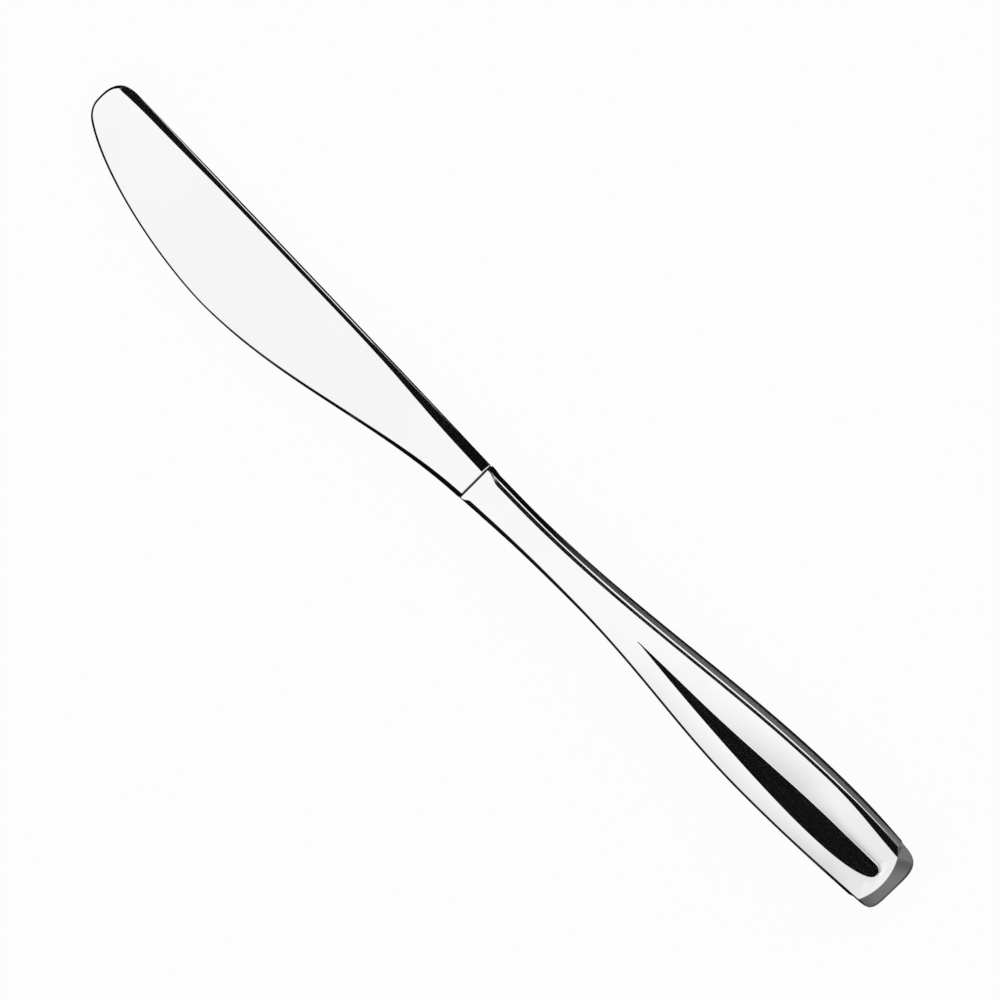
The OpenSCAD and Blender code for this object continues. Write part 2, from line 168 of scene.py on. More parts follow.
def ease(x: float, start: float, run: float) -> float:
    """Rise from 0 at a start to 1 after a run, with level ends."""
    return smooth((x - start) / run)


def sweep(x: float, start: float, run: float) -> float:
    """Rise from 0 at a start to 1 after a run, along half a cosine."""
    return wave((x - start) / run)


def climb(x: float, top: float, start: float, run: float) -> float:
    """Rise straight from 0 at a start to the top after a run."""
    return top * unit((x - start) / run)


def bend_over(x: float, start: float, end: float) -> float:
    """Rise from 0 at a start to 1 at an end along a quarter of a cosine."""
    return 1.0 - math.cos(math.pi / 2.0 * (x - start) / (end - start))


def round_off(u: float, power: float) -> float:
    """Fall from 1 to 0 along a rounded corner of the given power."""
    return max(0.0, 1.0 - unit(u) ** power) ** (1.0 / power)


def lip_pull(depth: float, radius: float) -> float:
    """Distance by which a rounded lip draws in, at a depth behind its end."""
    near = unit(1.0 - depth / radius)
    return radius * (1.0 - math.sqrt(max(0.0, 1.0 - near**2)))


def spread(a: float, b: float, count: int, power: float = 1.0) -> list[float]:
    """Share out places from a towards b, without b itself; a power above 1 crowds them at b."""
    return [b - (b - a) * (1.0 - k / count) ** power for k in range(count)]


def soften(path: list[Vector], radii: list[float], steps: int) -> list[Vector]:
    """Round the corners of a path, with a support point before and after each rounding.

    Args:
        path: Corner points, of which the two ends stay.
        radii: Rounding at each point; a corner with 0 stays as it is.
        steps: Segments in each rounding.

    Returns:
        The rounded path.
    """
    least, most, support = 1e-4, 0.45, 1.1
    out = [path[0].copy()]
    for a, v, b, radius in zip(path, path[1:], path[2:], radii[1:]):
        if radius <= 0.0:
            out.append(v.copy())
            continue
        r = max(least, min(radius, most * (a - v).length, most * (b - v).length))
        back, on = (a - v).normalized(), (b - v).normalized()
        out.append(v + back * r * support)
        for k in range(steps + 1):
            t = k / steps
            out.append(v + back * r * (1.0 - t) ** 2 + on * r * t**2)
        out.append(v + on * r * support)
    out.append(path[-1].copy())
    return out


def inward(loop: list[Vector], i: int, d: float) -> Vector:
    """Move one point of an open loop towards its inside.

    Args:
        loop: Points of the loop, whose two ends lie on the line of the joint.
        i: Index of the point.
        d: Distance to move.

    Returns:
        The moved point, with its height kept.
    """
    p = loop[i]
    if i in (0, len(loop) - 1):
        turn = math.copysign(1.0, loop[-1].y - loop[0].y) * (1.0 if i == 0 else -1.0)
        return Vector((p.x, p.y + turn * d, p.z))
    v = loop[i + 1] - loop[i - 1]
    length = max(1e-9, math.hypot(v.x, v.y))
    return Vector((p.x + d * v.y / length, p.y - d * v.x / length, p.z))


def loft(sections: list[list[Vector]]) -> Mesh:
    """Pull a flat grid into shape over a row of sections.

    Args:
        sections: Sections with equal numbers of points.

    Returns:
        The smooth lofted mesh, with its doubles merged.
    """
    bm = bmesh.new()
    nx, ny = len(sections) - 1, len(sections[0]) - 1
    bmesh.ops.create_grid(bm, x_segments=nx, y_segments=ny, size=1.0)
    for v in bm.verts:
        i, j = round((v.co.x + 1.0) / 2.0 * nx), round((v.co.y + 1.0) / 2.0 * ny)
        v.co = sections[i][j]
    bmesh.ops.remove_doubles(bm, verts=bm.verts, dist=DOUBLES)
    bmesh.ops.dissolve_degenerate(bm, edges=bm.edges, dist=THIN)
    for f in bm.faces:
        f.smooth = True
    return bm


def close_mouth(bm: Mesh) -> None:
    """Fill the open loop that a lofted mesh leaves at the joint with a flat face."""
    for f in bmesh.ops.edgeloop_fill(bm, edges=[e for e in bm.edges if e.is_boundary])["faces"]:
        f.smooth = False


@dataclass(frozen=True)
class BladeForm:
    """Outline and section of the blade, in millimetres."""

    length: float = 100.8
    belly_at: float = 59.8
    belly_drop: float = 13.2
    heel_run: float = 4.5
    spine_rise: float = 6.78
    spine_bow: float = 0.06
    nose_len: float = 5.6
    nose_rise: float = 1.1
    edge_half: float = 0.44
    spine_half: float = 1.05
    tip_taper: float = 0.6
    edge_nose: float = 0.4
    edge_nose_run: float = 2.5
    edge_belly: float = 0.42
    edge_front: float = 0.56
    edge_heel: float = 0.74
    edge_slope: float = 0.93
    edge_least: float = 0.05
    spine_flat: float = 0.78
    nose_flat: float = 0.2
    bevel_mid: float = 0.8
    bevel_nose: float = 1.26
    bevel_dip: float = 0.6
    dip_from: float = 90.0
    swell_len: float = 27.0
    joint_half_w: float = 4.3
    joint_half_h: float = 2.2
    bolster_bevel: float = 1.45
    bolster_run: Couple = (-38.0, 30.0)
    bolster_flat: float = 0.35
    joint_gap: float = 0.34
    nose_power: float = 2.7
    belly_power: float = 1.66
    belly_over: float = 1.5
    corner_len: float = 2.5
    corner_power: float = 3.0
    mouth_places: tuple[float, ...] = (0.0, 0.012, 0.028, 0.05)
    mouth_next: float = 0.4
    rows: tuple[int, ...] = (60, 44, 60, 72)
    crowd: tuple[float, ...] = (1.0, 1.0, 1.0, 2.0)

    @property
    def nose_at(self) -> float:
        """Distance from the joint to the start of the rounded nose."""
        return self.length - self.nose_len

    def spine_line(self, x: float) -> float:
        """Height of the gently bowed spine."""
        u = -x / self.nose_at
        return mix(self.joint_half_w, self.spine_rise, u) + 4.0 * self.spine_bow * u * (1.0 - u)

    def spine_y(self, x: float) -> float:
        """Height of the spine with its rounded corner at the nose."""
        corner = round_off((-x - self.nose_at) / self.nose_len, self.nose_power)
        return self.nose_rise + (self.spine_line(x) - self.nose_rise) * corner

    def edge_y(self, x: float) -> float:
        """Height of the cutting edge.

        Args:
            x: Place along the blade.

        Returns:
            Height of the edge there, from heel over belly to nose.
        """
        belly, low = self.belly_at, self.belly_drop
        run = belly + self.heel_run
        if x > -belly:
            heel = low - (low - self.joint_half_w) / wave(belly / run)
            return -mix(low, heel, wave((x + belly) / run))
        share = (-x - belly) / (self.length + self.belly_over - belly)
        drop = (low + self.nose_rise) * round_off(share, self.belly_power)
        corner = round_off((-x - self.length + self.corner_len) / self.corner_len, self.corner_power)
        return self.nose_rise - drop * corner

    def front(self, x: float) -> float:
        """Share of the way from the belly to the tip."""
        return (-x - self.belly_at) / (self.length - self.belly_at)

    def spine_front(self, x: float) -> float:
        """Share of the way from the belly to the nose, along half a cosine."""
        return wave((-x - self.belly_at) / (self.nose_at - self.belly_at))

    def swell(self, x: float) -> float:
        """Share of the bolster's form in the section."""
        return smooth(1.0 + x / self.swell_len)

    def ground(self, x: float, y: float) -> float:
        """Half thickness of the flat grind.

        Args:
            x: Place along the blade.
            y: Height on the blade.

        Returns:
            Half thickness without the bolster.
        """
        depth = self.spine_line(-self.belly_at) + self.belly_drop
        rise = (self.spine_half - self.edge_half) * (y + self.belly_drop) / depth
        return self.edge_half + rise * (1.0 - self.tip_taper * unit(self.front(x)))

    def face_z(self, x: float, y: float) -> float:
        """Half thickness of the blade with its bolster."""
        return mix(self.ground(x, y), self.joint_half_h, self.swell(x))

    def bolster(self, x: float) -> float:
        """Share of the bolster's broad bevels."""
        return sweep(x, *self.bolster_run)

    def edge_width(self, x: float) -> float:
        """Width of the narrow bevel along the cutting edge.

        Args:
            x: Place along the blade.

        Returns:
            The width, from heel over belly to nose.
        """
        heel = unit((x + self.belly_at) / (self.belly_at - self.swell_len))
        front = mix(self.edge_belly, self.edge_front, unit(self.front(x)))
        front = mix(self.edge_nose, front, smooth((self.length + x) / self.edge_nose_run))
        return mix(front, self.edge_heel, heel)

    def spine_width(self, x: float) -> float:
        """Width of the spine bevel, which runs out straight at the rounded nose.

        Args:
            x: Place along the blade.

        Returns:
            The width, 0 where the bevel has run out.
        """
        dip = unit((-x - self.dip_from) / (self.length - self.dip_from)) ** 2
        full = mix(self.bevel_mid, self.bevel_nose, self.spine_front(x)) + self.bevel_dip * dip
        return full if x >= -self.nose_at else max(0.0, self.spine_y(x) - self.spine_line(x) + full)

    def wall(self, x: float, y: float, spine: float) -> float:
        """Half height of the blade's narrow side wall.

        Args:
            x: Place along the blade.
            y: Height of the outline.
            spine: Share of the spine bevel, from 0 at the edge to 1.

        Returns:
            Half height of the wall.
        """
        ground = self.ground(x, y)
        edge = max(self.edge_least, ground - self.edge_slope * self.edge_width(x))
        flat = mix(self.spine_flat, self.nose_flat, self.spine_front(x) ** 2)
        return mix(mix(edge, mix(ground, flat, spine), spine), self.bolster_flat, self.swell(x))

    def loop(self) -> list[tuple[Vector, float]]:
        """Walk from the heel round the nose and back along the spine.

        Returns:
            Points of the outline, each with its share of the spine bevel.
        """
        end = -self.joint_gap
        places = [end - depth for depth in self.mouth_places]
        stops = (end - self.mouth_next, -self.swell_len, -self.belly_at, -self.nose_at, -self.length)
        for stretch in zip(stops, stops[1:], self.rows, self.crowd):
            places += spread(*stretch)
        out = [(Vector((x, self.edge_y(x), 0.0)), 0.0) for x in places]
        out.append((Vector((-self.length, self.nose_rise, 0.0)), 0.0))
        for x in reversed(places):
            share = 1.0 if x >= -self.nose_at else unit(self.spine_width(x) / self.bevel_nose)
            out.append((Vector((x, self.spine_y(x), 0.0)), share))
        return out


@dataclass(frozen=True)
class HandleForm:
    """Outline, section and thumb hollow of the handle, in millimetres."""

    length: float = 109.2
    waist_at: Pair = Pair(10.0, 30.0)
    waist: Pair = Pair(3.71, 2.84)
    wide_at: Pair = Pair(92.0, 76.0)
    wide: Pair = Pair(9.247, 5.66)
    butt: Pair = Pair(8.25, 4.45)
    corner: Pair = Pair(1.3, 1.9)
    butt_len: float = 5.4
    fall_len: float = 0.7
    butt_swell: float = 0.32
    butt_swell_from: float = 94.0
    butt_draft: float = 0.3
    joint_half_w: float = 3.8
    neck_swell: float = 0.5
    neck_run: float = 45.0
    neck_lean: float = 0.8
    joint_half_h: float = 2.2
    face_half: float = 3.27
    thick_at: float = 86.0
    face_butt: float = 2.95
    shoulder_neck: Pair = Pair(0.72, 0.96)
    shoulder_body: Pair = Pair(0.6, 0.6)
    shoulder_flare: Pair = Pair(0.75, 0.1)
    shoulder_run: Couple = (8.0, 36.0)
    shoulder_slope: float = 0.85
    lip_len: float = 0.4
    lip_run: Pair = Pair(3.0, 1.4)
    lip_bevel: float = 0.12
    lip_draft: Pair = Pair(0.6, 1.3)
    wall_draft: float = 0.12
    butt_wall: float = 0.85
    face_crown: float = 0.3
    crown_run: Couple = (25.0, 45.0)
    crown_to: float = 94.0
    hollow_tip: float = 43.4
    hollow_lead: float = 3.0
    hollow_rise: float = 1.16
    hollow_wide_at: float = 86.0
    hollow_reach: float = 1.5
    hollow_valley: float = 2.05
    valley_swell: float = 1.05
    swell_run: Couple = (57.0, 37.0)
    valley_power: float = 0.7
    hollow_end_gap: float = 4.4
    hollow_end_rise: float = 2.0
    hollow_round: float = 1.4
    hollow_slope: float = 12.0
    bevel_crest: float = 2.5
    ridge_half: float = 0.12
    seam_gap: float = 0.12
    butt_power: Pair = Pair(3.9, 6.0)
    hollow_power: float = 2.5
    rim_power: float = 1.6
    mouth_places: tuple[float, ...] = (0.0, 0.012, 0.03, 0.06)
    mouth_next: float = 0.12
    rows: tuple[int, ...] = (26, 70, 96)
    crowd: tuple[float, ...] = (1.0, 1.0, 1.8)
    butt_rows: int = 40

    @property
    def butt_at(self) -> float:
        """Distance from the joint to the rounded end."""
        return self.length - self.butt_len

    @property
    def butt_mid(self) -> float:
        """Height of the middle of the butt."""
        return (self.butt.spine - self.butt.edge) / 2.0

    @property
    def hollow_end(self) -> float:
        """Distance from the joint to the end of the hollow."""
        return self.length - self.hollow_end_gap

    @property
    def hollow_at(self) -> float:
        """Distance from the joint to the hollow's rounded end."""
        return self.hollow_end - self.hollow_round

    def side_y(self, x: float, side: Side) -> float:
        """Height of the handle's outline.

        Args:
            x: Distance from the joint.
            side: Long side of the handle.

        Returns:
            Height of the outline, below 0 on the edge side.
        """
        waist_at, wide_at = self.waist_at[side], self.wide_at[side]
        waist, wide = self.waist[side], self.wide[side]
        if x < waist_at:
            half = mix(waist, self.joint_half_w, (1.0 - x / waist_at) ** 2)
        elif x < wide_at:
            half = mix(waist, wide, sweep(x, waist_at, wide_at - waist_at))
        else:
            half = mix(wide, self.butt[side], bend_over(x, wide_at, self.length))
        return side.value * half

    def face_z(self, x: float) -> float:
        """Height of the edge of the face.

        Args:
            x: Distance from the joint.

        Returns:
            Height above the middle plane.
        """
        if x < self.thick_at:
            return mix(self.joint_half_h, self.face_half, math.sin(math.pi / 2.0 * x / self.thick_at))
        return mix(self.face_half, self.face_butt, bend_over(x, self.thick_at, self.length))

    def fall(self, x: float) -> float:
        """Share by which the crest has fallen along the end bevel."""
        return unit((x - self.butt_at) / self.fall_len)

    def lip(self, x: float, side: Side) -> float:
        """Share of the full shoulder behind the lip of the mouth."""
        return ease(x, self.lip_len, self.lip_run[side])

    def belt(self, x: float) -> float:
        """Extra half width at the seam, which gives the neck its faceted sides."""
        return self.neck_swell * (1.0 - smooth(x / self.neck_run))

    def flange(self, x: float) -> float:
        """Extra half width at the seam next to the butt."""
        return self.butt_swell * ease(x, self.butt_swell_from, self.butt_at - self.butt_swell_from)

    def draft(self, x: float, side: Side) -> float:
        """Lean of the side wall between seam and crest."""
        lean = self.wall_draft + self.neck_lean * self.belt(x)
        return lean * mix(self.lip_draft[side], 1.0, self.lip(x, side))

    def crest_y(self, x: float, side: Side) -> float:
        """Height of the crest between side wall and shoulder, in plan."""
        return self.side_y(x, side) + side.value * (self.belt(x) - self.draft(x, side))

    def crown(self, x: float) -> float:
        """Rise of the face above its edge."""
        fade = ease(x, self.crown_to, self.hollow_end - self.crown_to)
        return self.face_crown * sweep(x, *self.crown_run) * (1.0 - fade)

    def shoulder(self, x: float, side: Side) -> float:
        """Width of the shoulder without its flare at the butt."""
        full = mix(self.shoulder_neck[side], self.shoulder_body[side], sweep(x, *self.shoulder_run))
        return mix(self.lip_bevel, full, self.lip(x, side))

    def crest_z(self, x: float, side: Side) -> float:
        """Height of the crest between side wall and shoulder, above the middle plane."""
        return self.face_z(x) - self.shoulder_slope * self.shoulder(x, side)

    def face_y(self, x: float, side: Side) -> float:
        """Height of the inner edge of the shoulder, in plan."""
        flare = self.shoulder_flare[side] * sweep(x, self.thick_at, self.butt_at - self.thick_at)
        return self.crest_y(x, side) - side.value * (self.shoulder(x, side) + flare)

    def neck_y(self, x: float) -> float:
        """Height of the fine ridge along the neck."""
        return self.hollow_rise * x / self.hollow_tip

    def rim_y(self, x: float) -> float:
        """Height of the hollow's crisp rim on the edge side.

        Args:
            x: Distance from the joint.

        Returns:
            Height of the rim.
        """
        share = unit((x - self.hollow_wide_at) / (self.hollow_end - self.hollow_wide_at))
        if x < self.hollow_tip:
            line = self.neck_y(x)
        elif share > 0.0:
            line = mix(self.hollow_end_rise, -self.hollow_reach, round_off(share, self.hollow_power))
        else:
            along = (self.hollow_wide_at - x) / (self.hollow_wide_at - self.hollow_tip)
            line = mix(-self.hollow_reach, self.hollow_rise, along**self.rim_power)
        return line - self.ridge_half * (1.0 - share)

    def valley_y(self, x: float) -> float:
        """Height of the hollow's valley on the spine side.

        Args:
            x: Distance from the joint.

        Returns:
            Height of the valley.
        """
        line = self.neck_y(x)
        if x >= self.hollow_tip:
            share = (x - self.hollow_tip) / (self.hollow_at - self.hollow_tip)
            line = mix(self.hollow_rise, self.hollow_valley, share**self.valley_power)
        return line + self.ridge_half + self.valley_swell * sweep(x, *self.swell_run)

    def floor_z(self, x: float, y: float) -> float:
        """Height of the hollow's floor, which slopes down from its rim.

        Args:
            x: Distance from the joint.
            y: Height in plan.

        Returns:
            Height above the middle plane.
        """
        full = math.tan(math.radians(self.hollow_slope))
        slope = full * smooth((x - self.hollow_tip + self.hollow_lead) / self.hollow_lead)
        return self.face_z(x) + self.crown(x) - slope * (y - self.rim_y(x))

    def stations(self) -> list[Station]:
        """Share out stations up the spine side, round the butt and down the edge side.

        Returns:
            The stations in order.
        """
        places, crowd = list(self.mouth_places), self.crowd[-1]
        stops = (self.mouth_next, self.lip_len + self.lip_run.spine, self.hollow_tip, self.hollow_at)
        for stretch in zip(stops, stops[1:], self.rows, self.crowd):
            places += spread(*stretch)
        half = [(x / self.hollow_at, 0.0) for x in places] + [(1.0, 0.0)]
        for k in range(1, self.butt_rows):
            half.append((1.0, 90.0 * (1.0 - (1.0 - (k / self.butt_rows) ** crowd) ** crowd)))
        out = [Station(s, a, 1) for s, a in half] + [Station(1.0, 90.0, 0)]
        return out + [Station(s, a, -1) for s, a in reversed(half)]

    def seam_point(self, at: Station) -> Vector:
        """Outline at the seam, with the share of the butt's fall in Z.

        Args:
            at: Station on the outline.

        Returns:
            Point of the outline.
        """
        if at.angle <= 0.0:
            x = self.butt_at * at.share
            y = self.side_y(x, at.side) + at.sign * (self.belt(x) + self.flange(x))
            return Vector((x, y, self.fall(x)))
        power = self.butt_power[at.side]
        f = math.sin(math.radians(at.angle)) ** (2.0 / power)
        x = self.butt_at + self.butt_len * f
        if at.sign == 0:
            return Vector((x, self.butt_mid, 1.0))
        reach = self.side_y(x, at.side) + at.sign * self.flange(x) - self.butt_mid
        return Vector((x, self.butt_mid + reach * round_off(f, power), self.fall(x)))

    def face_point(self, at: Station) -> Vector:
        """Edge of the face, along the shoulders and in an arc at the end bevel.

        Args:
            at: Station on the outline.

        Returns:
            Point of the edge.
        """
        if at.angle <= 0.0:
            x = (self.butt_at + self.corner[at.side]) * at.share
            return Vector((x, self.face_y(x, at.side), self.face_z(x)))
        a, b = (self.face_point(Station(1.0, 0.0, side.value)) for side in Side)
        top = 2.0 * (self.length - self.bevel_crest) - (a.x + b.x) / 2.0
        c = Vector((top, (a.y + b.y) / 2.0, 0.0))
        part = math.cos(math.radians(at.angle)) ** (2.0 / self.butt_power[at.side])
        t = (1.0 - at.sign * part) / 2.0
        p = a * (1.0 - t) ** 2 + c * 2.0 * t * (1.0 - t) + b * t**2
        return Vector((p.x, p.y, self.face_z(p.x)))

    def dish_point(self, at: Station) -> Vector:
        """Rim or valley of the hollow, which close up to the fine ridge in the neck.

        Args:
            at: Station on the outline.

        Returns:
            Point of the rim or valley.
        """
        turn = math.radians(at.angle)
        x = self.hollow_at * at.share + self.hollow_round * math.sin(turn)
        if at.sign < 0:
            y = self.rim_y(x)
        elif at.angle <= 0.0:
            y = self.valley_y(x)
        else:
            y = mix(self.hollow_end_rise, self.valley_y(self.hollow_at), math.cos(turn))
        return Vector((x, y, self.floor_z(x, y)))


@dataclass(frozen=True)
class Frame:
    """Place of the joint in the frame of the part's solids, in millimetres."""

    x: float = -4.2
    y: float = 1.975
    z: float = 3.57

    def settle(self, bm: Mesh) -> None:
        """Bring a mesh from millimetres at the joint to metres in the frame."""
        bmesh.ops.translate(bm, vec=Vector((self.x, self.y, self.z)), verts=bm.verts)
        bmesh.ops.scale(bm, vec=Vector((MM, MM, MM)), verts=bm.verts)


class NodePad:
    """Small helper that lays shader nodes into one tree."""

    def __init__(self, tree: bpy.types.NodeTree) -> None:
        """Start with an empty tree."""
        self.tree = tree
        tree.nodes.clear()

    def add(self, kind: str, **settings: object) -> bpy.types.Node:
        """Add a node.

        Args:
            kind: Node type without its ShaderNode prefix.
            settings: Properties by name, and inputs by in_ and their name or number. An input
                takes a value or the socket that feeds it.

        Returns:
            The new node.
        """
        node = self.tree.nodes.new("ShaderNode" + kind)
        for name, value in settings.items():
            if not name.startswith("in_"):
                setattr(node, name, value)
                continue
            key = name.removeprefix("in_")
            end = node.inputs[int(key) if key.isdigit() else key.replace("_", " ")]
            if isinstance(value, Socket):
                self.tree.links.new(value, end)
            else:
                end.default_value = value
        return node

    def place(self) -> Socket:
        """Give the place on the object."""
        return self.add("TexCoord").outputs["Object"]

    def attribute(self, name: str) -> Socket:
        """Give a value that is stored on the mesh."""
        return self.add("Attribute", attribute_name=name).outputs["Fac"]

    def noise(self, place: Socket, scale: float, detail: float, rough: float = 0.5) -> Socket:
        """Give a cloudy value."""
        node = self.add("TexNoise", in_Vector=place, in_Scale=scale, in_Detail=detail, in_Roughness=rough)
        return node.outputs["Fac"]

    def math(self, operation: str, *values: float | Socket) -> Socket:
        """Calculate with values and sockets."""
        inputs = {f"in_{i}": value for i, value in enumerate(values)}
        return self.add("Math", operation=operation, **inputs).outputs["Value"]

    def span(self, value: Socket, end: Couple, start: Couple = (0.0, 1.0)) -> Socket:
        """Map a value from a starting range to an end range, clamped at both."""
        ranges = {"in_From_Min": start[0], "in_From_Max": start[1], "in_To_Min": end[0], "in_To_Max": end[1]}
        return self.add("MapRange", in_Value=value, **ranges).outputs["Result"]

    def ramp(self, value: Socket, deep: Triple, pale: Triple, stops: Couple = (0.0, 1.0)) -> Socket:
        """Shade from a deep to a pale colour.

        Args:
            value: Value that chooses the shade.
            deep: Colour at the low stop.
            pale: Colour at the high stop.
            stops: Values at which the two colours are reached.

        Returns:
            The colour.
        """
        node = self.add("ValToRGB", in_Fac=value)
        for element, stop, colour in zip(node.color_ramp.elements, stops, (deep, pale)):
            element.position = stop
            element.color = (*colour, 1.0)
        return node.outputs["Color"]

    def bump(self, height: Socket, strength: float, depth: float) -> Socket:
        """Give a bumped normal, with the depth in metres."""
        node = self.add("Bump", in_Height=height, in_Strength=strength, in_Distance=depth)
        return node.outputs["Normal"]

    def coat(self, metal: float, **inputs: Socket) -> Socket:
        """Give a surface with a share of metal."""
        return self.add("BsdfPrincipled", in_Metallic=metal, **inputs).outputs["BSDF"]


@dataclass(frozen=True)
class Finish(ABC):
    """Material that is laid out in shader nodes."""

    name: str

    @abstractmethod
    def surface(self, pad: NodePad) -> Socket:
        """Lay out the nodes of the finish.

        Args:
            pad: Pad for the nodes.

        Returns:
            The shader.
        """

    def material(self) -> bpy.types.Material:
        """Build the finish.

        Returns:
            The new material.
        """
        mat = bpy.data.materials.new(self.name)
        mat.use_nodes = True
        pad = NodePad(mat.node_tree)
        pad.add("OutputMaterial", in_Surface=self.surface(pad))
        return mat


@dataclass(frozen=True)
class PolishedSteel(Finish):
    """Mirror-polished stainless steel with fine lines from buffing and softer, brighter edges."""

    pale: Triple
    deep: Triple
    lines: Triple
    rough: Couple = (0.045, 0.11)
    worn_tone: float = 1.04
    worn_rough: float = 0.05
    line_bump: float = 0.012
    bump_depth: float = 0.0001

    def surface(self, pad: NodePad) -> Socket:
        """Lay fine lines and pale clouds over the steel, and wear along its edges.

        Args:
            pad: Pad for the nodes.

        Returns:
            The shader.
        """
        place = pad.place()
        lay = pad.add("Mapping", in_Vector=place, in_Scale=self.lines)
        lines = pad.noise(lay.outputs["Vector"], scale=1.0, detail=4.0, rough=0.65)
        tone = pad.ramp(pad.noise(place, scale=55.0, detail=3.0), self.deep, self.pale, stops=(0.3, 0.7))
        wear = pad.attribute(WEAR)
        worn = (*(min(1.0, c * self.worn_tone) for c in self.pale), 1.0)
        rub = pad.add("MixRGB", blend_type="MIX", in_Fac=wear, in_Color1=tone, in_Color2=worn)
        sheen = pad.span(lines, self.rough, start=(0.3, 0.75))
        return pad.coat(
            metal=1.0,
            in_Base_Color=rub.outputs["Color"],
            in_Roughness=pad.math("MULTIPLY_ADD", wear, self.worn_rough, sheen),
            in_Normal=pad.bump(lines, self.line_bump, self.bump_depth),
        )


@dataclass(frozen=True)
class CastStuff(Finish):
    """Melted or cast stuff, clouded in tone and grained in gloss and height.

    The cloud has a scale, a detail and a roughness, and the bump a strength and a depth in metres.
    With a scale for the grain the gloss and the height follow cells, else the cloud.
    """

    metal: float
    pale: Triple
    deep: Triple
    cloud: Triple
    rough: Couple
    bump: Couple
    grain: float = 0.0

    def surface(self, pad: NodePad) -> Socket:
        """Cloud the tone, and roughen the surface with the grain.

        Args:
            pad: Pad for the nodes.

        Returns:
            The shader.
        """
        place = pad.place()
        cloud = grain = pad.noise(place, *self.cloud)
        if self.grain > 0.0:
            grain = pad.add("TexVoronoi", in_Vector=place, in_Scale=self.grain).outputs["Distance"]
        return pad.coat(
            self.metal,
            in_Base_Color=pad.ramp(cloud, self.deep, self.pale),
            in_Roughness=pad.span(grain, self.rough),
            in_Normal=pad.bump(grain, *self.bump),
        )


@dataclass(frozen=True)
class PaleFloor(Finish):
    """Matt white paper that shows as a plain white ground and keeps a light shadow."""

    name: str = "pale_floor"
    colour: Triple = (0.97, 0.97, 0.97)
    glow: float = 0.94

    def surface(self, pad: NodePad) -> Socket:
        """Blend paper with plain white, for the camera and for reflections.

        Args:
            pad: Pad for the nodes.

        Returns:
            The shader.
        """
        tooth = pad.bump(pad.noise(pad.place(), scale=900.0, detail=2.0), strength=0.05, depth=0.0001)
        paper = pad.add("BsdfDiffuse", in_Color=(*self.colour, 1.0), in_Normal=tooth)
        white = pad.add("Emission", in_Strength=1.0)
        rays = pad.add("LightPath").outputs
        seen = pad.math("MAXIMUM", rays["Is Camera Ray"], rays["Is Glossy Ray"])
        share = pad.math("MULTIPLY", seen, self.glow)
        shaders = {"in_1": paper.outputs["BSDF"], "in_2": white.outputs["Emission"]}
        return pad.add("MixShader", in_Fac=share, **shaders).outputs["Shader"]


@dataclass(frozen=True)
class PaintedReflectionCard(Finish):
    """Glowing studio card with its grey stored on its points: a painted reflection that only the steel
    shows, the same in any light.
    """

    def surface(self, pad: NodePad) -> Socket:
        """Glow in the stored grey, which paints a reflection into the steel."""
        return pad.add("Emission", in_Strength=pad.attribute(REFLECTION_TONE)).outputs["Emission"]


def place_piece(bm: Mesh, name: str) -> bpy.types.Object:
    """Turn a finished mesh into an object at the origin.

    Args:
        bm: Mesh in metres in the frame; it is freed.
        name: Name of the object.

    Returns:
        The new object.
    """
    mesh = bpy.data.meshes.new(name)
    bm.to_mesh(mesh)
    bm.free()
    piece = bpy.data.objects.new(name, mesh)
    bpy.context.scene.collection.objects.link(piece)
    return piece


def place_steel(bm: Mesh, frame: Frame, name: str) -> bpy.types.Object:
    """Turn a closed mesh in millimetres into an object with worn edges.

    Args:
        bm: Mesh from the joint; it is freed.
        frame: Place of the joint.
        name: Name of the object.

    Returns:
        The new object.
    """
    bmesh.ops.recalc_face_normals(bm, faces=bm.faces)
    layer = bm.verts.layers.float.new(WEAR)
    for v in bm.verts:
        turn = max((e.calc_face_angle(0.0) for e in v.link_edges), default=0.0)
        v[layer] = unit(turn / WEAR_ANGLE)
    frame.settle(bm)
    return place_piece(bm, name)


